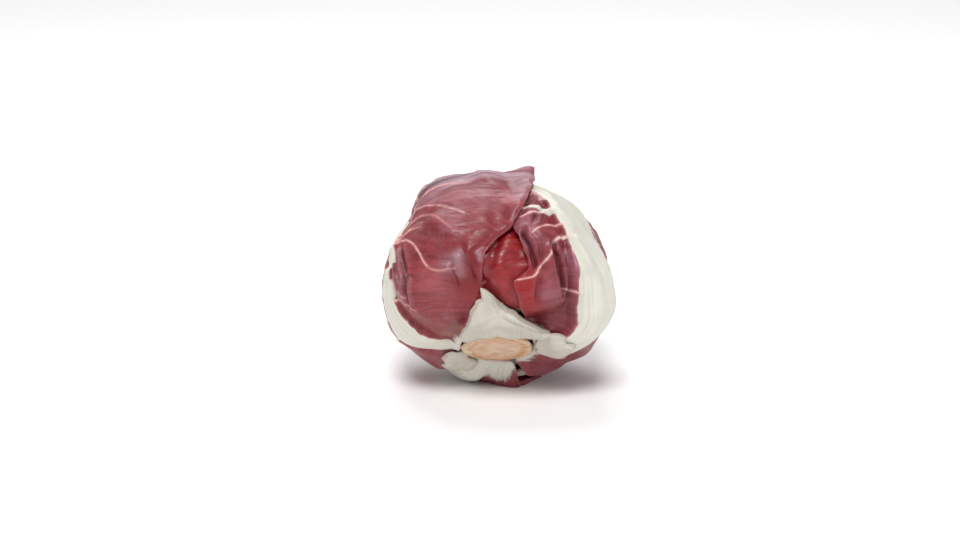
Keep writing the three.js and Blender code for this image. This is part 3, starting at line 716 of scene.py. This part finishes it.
def drapeLeaf(leaf, below, flat, lift):
    # the leaf's inner and outer faces, resting on what is below it and stopped by the floor
    rest, raw = restingRadius(leaf, below, flat.dirs, flat.cell)
    thick = leaf["blade"] * (0.4 + 0.6 * smooth(flat.edge, 0, 2.5)) + flat.raised + flat.veinHeight
    if leaf.get("white"):  # a torn base: fibrous, and thin along the tear
        fibres = layeredNoise(flat.across / 2.6, flat.along / 12, flat.seed + 13, 3)
        base = leaf["midrib"][0][0]
        tear = smooth(flat.polar, base + 1.5, base + 6) * (1 - smooth(flat.edge, 0, 2.4))
        thick = np.maximum((thick + (fibres - 0.5) * 0.4) * (1 - 0.75 * tear), 0.35)
    inner = rest + lift
    outer = inner + thick
    if "meets" in leaf:  # the base closes onto the cut stem's rim
        free = smooth(flat.polar, leaf["meets"]["from"], leaf["meets"]["to"])
        outer = outer * free + (rimRadius(flat.dirs) + 0.3) * (1 - free)
    if "foot" in leaf:  # filled down to the floor round the resting place
        foot = leaf["foot"]
        off = np.hypot(flat.dirs[..., 0], flat.dirs[..., 1]) * headShape["centreHeight"]
        outer = outer + foot["fill"] * (1 - smooth(off, foot["radius"], foot["radius"] + foot["reach"]))
    outer = np.minimum(outer, floorRadius(flat.dirs))
    if "filled" in leaf:
        inner = np.minimum(inner, raw)
    leaf["dirs"] = flat.dirs
    leaf["outer"] = outer
    leaf["inner"] = np.minimum(inner, outer - 0.3)


tintNames = ("bright", "mauve", "deep", "dark", "dusk", "light", "browned", "haze")


def tintLeaf(leaf, flat, lift):
    # everything the leaf's colours are mixed by, painted highlights and painted shade among them
    tints = {name: np.zeros(flat.x.shape) for name in tintNames}
    tints["haze"] = flat.haze
    for name, amount, reach, course in leaf.get("tints", []):
        near = np.exp(-(awayFrom(leaf, flat, *course) / reach) ** 2)
        tints[name] = np.maximum(tints[name], amount * near)
    if leaf.get("white"):
        tints["browned"] = np.maximum(tints["browned"], (1 - smooth(flat.edge, 0.2, 1.6)) * 0.25)
    # painted shade where the blade lies lower than its surroundings
    hollow = 0.5 - 0.35 * (lift - blurGrid(lift, 2.5 / flat.cell))
    leaf["marks"] = {**tints, "white": np.clip(flat.white, 0, 1), "tone": flat.tone, "pale": flat.pale,
                     "shadow": flat.shadow, "dim": flat.dim, "edgeLine": 1 - smooth(flat.edge, 0.2, 1.3),
                     "hollow": np.clip(hollow, 0, 1)}
    leaf["grain"] = np.stack([flat.line, flat.across, flat.along], -1)


def shapeLeaf(leaf, below):
    flat = layOutLeaf(leaf)
    raiseRib(leaf, flat)
    if not leaf.get("white"):
        growSideVeins(flat)
    drawVeins(leaf, flat)
    lift = liftBlade(leaf, flat)
    drapeLeaf(leaf, below, flat, lift)
    tintLeaf(leaf, flat, lift)
    print("shaped", leaf["name"], "on a grid of", round(flat.cell, 2), "mm")


def addObject(name, data):
    made = bpy.data.objects.new(name, data)
    bpy.context.scene.collection.objects.link(made)
    return made


def meshFrom(name, points, faces):
    mesh = bpy.data.meshes.new(name)
    mesh.from_pydata(points.tolist(), [], faces)
    mesh.validate()
    mesh.shade_smooth()
    return addObject(name, mesh)


def setMark(piece, name, values):
    values = values.astype(np.float32).ravel()
    piece.data.attributes.new(name, "FLOAT", "POINT").data.foreach_set("value", values)


def setGrain(piece, values):
    # which way the fibres run, for the streaks in the colours
    values = values.astype(np.float32).ravel()
    piece.data.attributes.new("grain", "FLOAT_VECTOR", "POINT").data.foreach_set("vector", values)


def gridFaces(count, start, outward):
    # quads over a (count + 1) square grid of points
    i, j = np.meshgrid(np.arange(count), np.arange(count), indexing="ij")
    a = start + i * (count + 1) + j
    quads = np.stack([a, a + count + 1, a + count + 2, a + 1], -1).reshape(-1, 4)
    return (quads if outward else quads[:, ::-1]).tolist()


def rimLoop(count, start):
    # the points round such a grid's rim, in order
    side = count + 1
    k = np.arange(count)
    return np.concatenate([start + k * side, start + count * side + k, start + (count - k) * side + count,
                           start + count - k])


def buildLeaf(leaf):
    # the outer face, the inner face with half as many points each way, and the edge between them
    n = leaf["cells"]
    outerPoints = centre + leaf["dirs"] * leaf["outer"][..., None]
    innerPoints = (centre + leaf["dirs"] * leaf["inner"][..., None])[::2, ::2]
    points = np.vstack([outerPoints.reshape(-1, 3), innerPoints.reshape(-1, 3)]) * mm
    innerStart = (n + 1) ** 2
    faces = gridFaces(n, 0, True) + gridFaces(n // 2, innerStart, False)
    outerRim = rimLoop(n, 0).tolist()
    innerRim = rimLoop(n // 2, innerStart).tolist()
    for k in range(len(innerRim)):
        a, b, c = outerRim[2 * k], outerRim[2 * k + 1], outerRim[(2 * k + 2) % len(outerRim)]
        p, q = innerRim[k], innerRim[(k + 1) % len(innerRim)]
        faces += [[a, p, b], [b, p, q], [b, q, c]]
    piece = meshFrom(leaf["name"], points, faces)
    for name, values in leaf["marks"].items():
        setMark(piece, name, np.concatenate([values.ravel(), values[::2, ::2].ravel()]))
    setGrain(piece, np.vstack([leaf["grain"].reshape(-1, 3), leaf["grain"][::2, ::2].reshape(-1, 3)]))
    return piece


def ringFaces(around, rings, last):
    # point 0, then rings of points, then the last point: quads between the rings and a fan at each end
    j = np.arange(around)
    k = (j + 1) % around
    faces = np.stack([0 * j, 1 + k, 1 + j], -1).tolist()
    for ring in range(rings - 1):
        a = 1 + ring * around
        faces += np.stack([a + j, a + k, a + around + k, a + around + j], -1).tolist()
    return faces + np.stack([0 * j + last, last - around + j, last - around + k], -1).tolist()


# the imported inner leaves: relief and inset in mm, and in degrees where they turn pale and how frayed that is
heartLook = {
    "rows": 110, "around": 220, "relief": 0.32, "inset": 0.7, "paleFrom": 44, "paleTo": 56, "fray": 24}


def buildHeart():
    # rounded folds over the heart's shape, pale round the stem
    h = heartLook
    polar, longitude = np.meshgrid(np.linspace(0, 180, h["rows"] + 1),
                                   np.arange(h["around"]) * 360 / h["around"], indexing="ij")
    dirs = headDirection(polar, longitude)
    wave = np.radians(longitude)
    down = np.radians(polar)
    folds = np.sin(5 * wave + 3 * np.sin(down * 2)) + 0.6 * np.sin(9 * wave - down * 4)
    radius = heartRadius(dirs) - h["inset"] + h["relief"] * folds * np.sin(down)
    points = (centre + dirs * radius[..., None]) * mm
    points = np.vstack([points[0, :1], points[1:-1].reshape(-1, 3), points[-1, :1]])
    piece = meshFrom("heartLeaves", points, ringFaces(h["around"], h["rows"] - 1, len(points) - 1))
    dirs = points / mm - centre
    dirs = dirs / np.linalg.norm(dirs, axis=1)[:, None]
    turn = np.radians(longitudeOf(dirs)) * 45
    away = polarOf(dirs)
    fray = (layeredNoise(turn / 5, away / 30, 41, 3) - 0.5) * h["fray"]
    setMark(piece, "pale", 1 - smooth(away + fray, h["paleFrom"], h["paleTo"]))
    setMark(piece, "tone", np.ones(len(points)))
    setGrain(piece, np.stack([turn, away * 0.8, turn], -1))
    return piece


def buildStem():
    # the slanted cut face from its middle out, then the side down to the bottom
    s = stemLook
    turn = np.arange(s["around"]) * 2 * math.pi / s["around"]
    wobble = 0.985 + 0.02 * np.sin(3 * turn + 1) + 0.012 * np.sin(7 * turn) + 0.01 * np.sin(13 * turn + 2)
    rise = math.tan(math.radians(s["slant"]))
    rings = []
    for k in range(1, s["rings"] + 1):
        out = k / s["rings"]
        edge = smooth(np.float64(out), 0.93, 1)
        ring = s["faceRadius"] * out * (1 + (wobble - 1) * out) - s["rounding"] * edge
        x = ring * np.sin(turn)
        y = ring * np.cos(turn)
        scar = (layeredNoise(x / 4 + 9, y / 1.1 + 9, 31, 3) - 0.5) * s["scar"]
        dish = -s["dish"] * (1 - out ** 2)
        rings.append((x, y, s["face"] + y * rise + scar * (1 - edge) + dish - s["lip"] * edge))
    for t in np.linspace(0.08, 1, s["sideRings"]):
        ring = (s["faceRadius"] * (1 - t) + s["bottomRadius"] * t) * (wobble * (1 - t) + t)
        x = ring * np.sin(turn)
        y = ring * np.cos(turn)
        rings.append((x, y, (s["face"] + y * rise - s["lip"]) * (1 - t) + s["bottom"] * t))
    middle = np.array([[0, 0, s["face"] - s["dish"] - 0.1]])
    under = np.array([[0, 0, s["bottom"]]])
    flat = np.vstack([middle] + [np.stack(ring, -1) for ring in rings] + [under])
    points = (centre + flat[:, :1] * rightAxis + flat[:, 1:2] * frontAxis + flat[:, 2:] * stemAxis) * mm
    piece = meshFrom("cutStem", points, ringFaces(s["around"], len(rings), len(points) - 1))
    side = np.zeros(len(flat))
    side[1 + s["rings"] * s["around"]:] = 1
    setMark(piece, "reach", np.hypot(flat[:, 0] / 0.74, flat[:, 1] / 0.9) / s["faceRadius"])
    setMark(piece, "side", side)
    setGrain(piece, flat)
    return piece


def colour(r, g, b):
    # screen values 0 to 255 to a linear colour
    out = [v / 255 / 12.92 if v <= 10 else ((v / 255 + 0.055) / 1.055) ** 2.4 for v in (r, g, b)]
    return (*out, 1)


def newMaterial(name):
    made = bpy.data.materials.new(name)
    made.use_nodes = True
    made.node_tree.nodes.clear()
    return made, made.node_tree


def node(tree, kind, inputs=None, **settings):
    # a shader node, each input linked to a socket or set to a value
    made = tree.nodes.new("ShaderNode" + kind)
    for key, value in settings.items():
        setattr(made, key, value)
    for key, value in (inputs or {}).items():
        if isinstance(value, bpy.types.NodeSocket):
            tree.links.new(value, made.inputs[key])
        else:
            made.inputs[key].default_value = value
    return made


def mark(tree, name):
    return node(tree, "Attribute", attribute_name=name).outputs["Fac"]


def grainOf(tree):
    return node(tree, "Attribute", attribute_name="grain").outputs["Vector"]


def blend(tree, amount, first, second):
    return node(tree, "Mix", {0: amount, 6: first, 7: second}, data_type="RGBA").outputs[2]


def layers(tree, base, *coats):
    # each coat is how much of it shows, and its colour
    for amount, shade in coats:
        base = blend(tree, amount, base, shade)
    return base


def worked(tree, how, first, second=0.5, third=0.5):
    return node(tree, "Math", {0: first, 1: second, 2: third}, operation=how).outputs[0]


def times(tree, first, second):
    return worked(tree, "MULTIPLY", first, second)


def swayed(tree, base, texture, much):
    # base, moved up or down by a texture that is 0.5 on average
    return worked(tree, "MULTIPLY_ADD", worked(tree, "SUBTRACT", texture, 0.5), much, base)


def ramp(tree, value, low, high, toLow=0.0, toHigh=1.0):
    return node(tree, "MapRange", {"Value": value, "From Min": low, "From Max": high, "To Min": toLow,
                                   "To Max": toHigh}, interpolation_type="SMOOTHSTEP").outputs[0]


def stretched(tree, vector, scale):
    return node(tree, "VectorMath", {0: vector, 1: scale}, operation="MULTIPLY").outputs[0]


def noise(tree, vector, scale, detail=3.0, rough=0.55):
    return node(tree, "TexNoise", {"Vector": vector, "Scale": scale, "Detail": detail,
                                   "Roughness": rough}).outputs["Fac"]


leafColours = {
    "wine": {"flesh": colour(138, 50, 56), "deep": colour(104, 28, 38), "bright": colour(158, 74, 82),
             "mauve": colour(150, 92, 108), "rib": colour(222, 219, 211), "ribShade": colour(206, 204, 190),
             "ribGreen": colour(202, 203, 180), "vein": colour(222, 168, 164), "gloss": 0.4},
    "mauve": {"flesh": colour(146, 56, 62), "deep": colour(112, 34, 42), "bright": colour(166, 84, 88),
              "mauve": colour(166, 128, 140), "rib": colour(222, 219, 210), "ribShade": colour(206, 204, 188),
              "ribGreen": colour(204, 203, 180), "vein": colour(220, 160, 156), "gloss": 0.42},
    "bright": {"flesh": colour(146, 10, 16), "deep": colour(118, 18, 26), "bright": colour(176, 60, 64),
               "mauve": colour(156, 66, 76), "rib": colour(206, 200, 190), "ribShade": colour(190, 180, 166),
               "ribGreen": colour(196, 190, 168), "vein": colour(206, 118, 124), "gloss": 0.34},
    "ivory": {"flesh": colour(200, 186, 178), "deep": colour(170, 136, 134), "bright": colour(210, 202, 190),
              "mauve": colour(186, 150, 150), "rib": colour(198, 192, 181), "ribShade": colour(191, 184, 171),
              "ribGreen": colour(190, 190, 172), "vein": colour(206, 196, 184), "gloss": 0.45},
}
darkFlesh = colour(120, 18, 24)
foldShade = colour(62, 14, 24)
paintedPleatShadeColour = colour(112, 40, 46)
paintedHighlightColour = colour(170, 142, 154)
paintedBandShadeColour = colour(60, 23, 26)
bruise = colour(138, 100, 66)
leafSkin = {
    "sheen": 0.08, "specular": 0.42, "glow": 0.12, "glowReach": (0.004, 0.0015, 0.001), "relief": 0.3}


def leafTextures(tree):
    # broad clouds, blotches, soft streaks along the side veins, fine streaks, and a net of the smallest veins
    grain = grainOf(tree)
    place = node(tree, "TexCoord").outputs["Object"]
    net = node(tree, "TexVoronoi", {"Vector": stretched(tree, grain, (0.36, 0.2, 0)), "Scale": 1.0},
               feature="DISTANCE_TO_EDGE").outputs["Distance"]
    return SimpleNamespace(
        grain=grain, cloud=noise(tree, place, 60.0), blotch=noise(tree, place, 170.0, 3.0, 0.6),
        streak=noise(tree, stretched(tree, grain, (0.3, 0.05, 0)), 1.0, 3.0, 0.5),
        fine=noise(tree, stretched(tree, grain, (1.3, 0.35, 0)), 1.0),
        netLine=ramp(tree, net, 0.0, 0.06, 1.0, 0.0))


def fleshShade(tree, look, t):
    flesh = blend(tree, ramp(tree, t.streak, 0.3, 0.72, 0.15, 1.0), look["deep"], look["flesh"])
    return layers(
        tree, flesh,
        (ramp(tree, t.cloud, 0.48, 0.8, 0.0, 0.6), look["mauve"]),
        (ramp(tree, t.blotch, 0.45, 0.8, 0.0, 0.4), look["bright"]),
        (ramp(tree, t.fine, 0.5, 0.85, 0.0, 0.18), look["deep"]),
        (times(tree, t.netLine, 0.06), look["vein"]),
        (mark(tree, "bright"), leafColours["bright"]["flesh"]),
        # dark tint: a darker red where the left leaf turns in towards the front leaf, partly its own red and
        # partly painted shade
        (mark(tree, "dark"), darkFlesh),
        # mauve tint: partly the leaf's own mauve, partly painted reflection of the bright room on the left
        # leaf's waxy top and on glossy patches
        (times(tree, mark(tree, "mauve"), ramp(tree, t.streak, 0.25, 0.65, 0.25, 0.95)), look["mauve"]),
        (mark(tree, "deep"), look["deep"]),
        # painted shade in the valleys between the left leaf's pleats
        (times(tree, mark(tree, "dim"), 0.6), paintedPleatShadeColour),
        # painted highlight: pale reflections laid on pleat tops and glossy patches
        (times(tree, mark(tree, "haze"), 0.78), paintedHighlightColour),
        # painted shade: dark streaky bands along the top of the left leaf
        (times(tree, mark(tree, "dusk"), ramp(tree, t.streak, 0.25, 0.5, 0.55, 0.95)), paintedBandShadeColour),
        # painted highlight: the light tint lays soft, streaky glossy patches in the leaf's brighter red
        (times(tree, mark(tree, "light"), ramp(tree, t.streak, 0.3, 0.6)), look["bright"]),
        # painted shade: darker where the blade lies below its surroundings
        (ramp(tree, mark(tree, "hollow"), 0.55, 0.95, 0.0, 0.5), look["deep"]))


def ribShade(tree, look, t):
    # ivory with long fibres where ribs and veins are thick, pink where they are thin
    fibre = noise(tree, stretched(tree, t.grain, (0.01, 0.7, 0.03)), 1.0)
    rib = blend(tree, ramp(tree, fibre, 0.3, 0.7), look["ribShade"], look["rib"])
    rib = blend(tree, ramp(tree, t.cloud, 0.5, 0.7, 0.0, 0.4), rib, look["ribGreen"])
    return blend(tree, ramp(tree, mark(tree, "tone"), 0.2, 0.9), look["vein"], rib)


def leafMaterial(name, look):
    # flesh, then the white of ribs and veins with a ragged edge, then edges, painted shadow in the creases,
    # and bruises
    made, tree = newMaterial(name)
    t = leafTextures(tree)
    white = swayed(tree, mark(tree, "white"), noise(tree, t.grain, 0.9), 0.16)
    pale = swayed(tree, mark(tree, "pale"), t.fine, 0.5)
    inWhite = worked(tree, "MAXIMUM", ramp(tree, white, 0.41, 0.54), ramp(tree, pale, 0.3, 0.75))
    shade = layers(tree, fleshShade(tree, look, t),
                   (ramp(tree, white, 0.0, 0.44, 0.0, 0.28), look["vein"]),
                   (inWhite, ribShade(tree, look, t)),
                   (times(tree, mark(tree, "edgeLine"), 0.3), look["bright"]),
                   (times(tree, mark(tree, "shadow"), 0.85), foldShade),
                   (mark(tree, "browned"), bruise))
    streaky = worked(tree, "MULTIPLY_ADD", t.fine, 0.35, times(tree, t.streak, 0.8))
    bumpHeight = worked(tree, "MULTIPLY_ADD", t.netLine, -0.2, streaky)
    bump = node(tree, "Bump", {"Strength": leafSkin["relief"], "Distance": 0.0005, "Height": bumpHeight})
    skin = node(tree, "BsdfPrincipled", {
        "Base Color": shade, "Normal": bump.outputs["Normal"],
        "Roughness": ramp(tree, t.blotch, 0.3, 0.7, look["gloss"] - 0.06, look["gloss"] + 0.08),
        "Subsurface Weight": leafSkin["glow"], "Subsurface Radius": leafSkin["glowReach"],
        "Subsurface Scale": 0.6, "Coat Weight": leafSkin["sheen"], "Coat Roughness": 0.2,
        "Specular IOR Level": leafSkin["specular"]})
    node(tree, "OutputMaterial", {"Surface": skin.outputs[0]})
    return made


stemColours = {
    "inside": colour(208, 165, 138), "patch": colour(218, 192, 168), "stroke": colour(208, 150, 104),
    "speck": colour(196, 158, 128), "skin": colour(214, 196, 172), "skinStroke": colour(204, 150, 98),
    "ring": colour(196, 138, 86), "side": colour(206, 176, 146)}


def stemMaterial():
    # peach flesh inside, a brown ring, and cream flesh outside it crossed by brown strokes
    look = stemColours
    made, tree = newMaterial("cutStemFlesh")
    grain = grainOf(tree)
    blotch = noise(tree, grain, 0.14, 4.0, 0.6)
    stroke = noise(tree, stretched(tree, grain, (0.18, 0.75, 0.3)), 1.0, 4.0, 0.6)
    out = swayed(tree, mark(tree, "reach"), blotch, 0.7)
    ring = times(tree, ramp(tree, out, 0.84, 0.98), ramp(tree, out, 1.02, 1.16, 1.0, 0.0))
    ring = times(tree, ring, ramp(tree, stroke, 0.36, 0.56, 0.4, 1.0))
    skin = blend(tree, ramp(tree, stroke, 0.46, 0.6, 0.0, 0.85), look["skin"], look["skinStroke"])
    flesh = layers(tree, look["inside"],
                   (ramp(tree, blotch, 0.38, 0.62), look["patch"]),
                   (ramp(tree, stroke, 0.52, 0.68, 0.0, 0.7), look["stroke"]),
                   (ramp(tree, noise(tree, grain, 0.9), 0.5, 0.75, 0.0, 0.3), look["speck"]),
                   (ramp(tree, out, 0.94, 1.1), skin),
                   (times(tree, ring, 0.85), look["ring"]),
                   (times(tree, mark(tree, "side"), 0.7), look["side"]))
    bump = node(tree, "Bump", {"Strength": 0.6, "Distance": 0.0008, "Height": stroke})
    cut = node(tree, "BsdfPrincipled", {
        "Base Color": flesh, "Roughness": 0.5, "Normal": bump.outputs["Normal"],
        "Subsurface Weight": 0.2, "Subsurface Radius": (0.004, 0.002, 0.001), "Subsurface Scale": 0.5})
    node(tree, "OutputMaterial", {"Surface": cut.outputs[0]})
    return made


def plainMaterial(name, shade, rough):
    made, tree = newMaterial(name)
    skin = node(tree, "BsdfPrincipled", {"Base Color": shade, "Roughness": rough})
    node(tree, "OutputMaterial", {"Surface": skin.outputs[0]})
    return made


def dress(piece, material, replaced):
    piece.data.materials.append(material)
    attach(piece, "root")
    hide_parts(replaced)


for count, leaf in enumerate(leaves):
    shapeLeaf(leaf, leaves[:count])
materials = {red: leafMaterial(red + "Leaf", look) for red, look in leafColours.items()}
for leaf in leaves:
    dress(buildLeaf(leaf), materials[leaf["red"]], leaf["node"])
print("leaves built")

dress(buildHeart(), materials["wine"], "heart")
dress(buildStem(), stemMaterial(), "stem")
print("heart and stem built")

# sizes and places in metres, the lights' power in watts, the sun's spread in degrees
studio = {
    "floorSize": 14.0, "floorShade": (0.93, 0.93, 0.93, 1), "world": 0.34,
    "sun": {"from": (-0.08, -0.55, 0.85), "strength": 2.2, "spread": 25},
    "lights": [{"name": "fillLight", "at": (0.8, -0.7, 0.35), "size": 0.5, "power": 1.5},
               {"name": "topLight", "at": (-0.1, 0.45, 0.9), "size": 0.6, "power": 5}]}
headMiddle = Vector((0, 0, headShape["centreHeight"] * mm))


def layFloor():
    half = studio["floorSize"] / 2
    mesh = bpy.data.meshes.new("floor")
    corners = [(-half, -half, 0), (half, -half, 0), (half, half, 0), (-half, half, 0)]
    mesh.from_pydata(corners, [], [(0, 1, 2, 3)])
    floor = addObject("floor", mesh)
    floor.data.materials.append(plainMaterial("paleFloor", studio["floorShade"], 0.9))


def lightRoom():
    world = bpy.data.worlds.new("softRoom")
    world.use_nodes = True
    background = world.node_tree.nodes["Background"]
    background.inputs["Color"].default_value = (1, 1, 1, 1)
    background.inputs["Strength"].default_value = studio["world"]
    bpy.context.scene.world = world
    bpy.context.scene.view_settings.view_transform = "Standard"
    for light in studio["lights"]:
        data = bpy.data.lights.new(light["name"], "AREA")
        data.size = light["size"]
        data.energy = light["power"]
        lamp = addObject(light["name"], data)
        lamp.location = light["at"]
        lamp.rotation_euler = (headMiddle - lamp.location).to_track_quat("-Z", "Y").to_euler()
    data = bpy.data.lights.new("sunlight", "SUN")
    data.energy = studio["sun"]["strength"]
    data.angle = math.radians(studio["sun"]["spread"])
    sun = addObject("sunlight", data)
    sun.rotation_euler = Vector(studio["sun"]["from"]).to_track_quat("Z", "Y").to_euler()


# degrees above level, metres from the head, mm of lens and sensor, metres the aim is off the heart's centre
view = {
    "elevation": 16, "distance": 1.0, "lens": 78.75, "sensor": 36, "aimRight": -0.0081, "aimUp": 0.0052}


def setCamera():
    tilt = math.radians(view["elevation"])
    upward = Vector((0, math.sin(tilt), math.cos(tilt)))
    aim = headMiddle + Vector((view["aimRight"], 0, 0)) + upward * view["aimUp"]
    data = bpy.data.cameras.new("camera")
    data.lens = view["lens"]
    data.sensor_width = view["sensor"]
    camera = addObject("camera", data)
    camera.location = aim + Vector((0, -math.cos(tilt), math.sin(tilt))) * view["distance"]
    camera.rotation_euler = (math.pi / 2 - tilt, 0, 0)
    bpy.context.scene.camera = camera


layFloor()
lightRoom()
setCamera()
print("floor, lights and camera set")
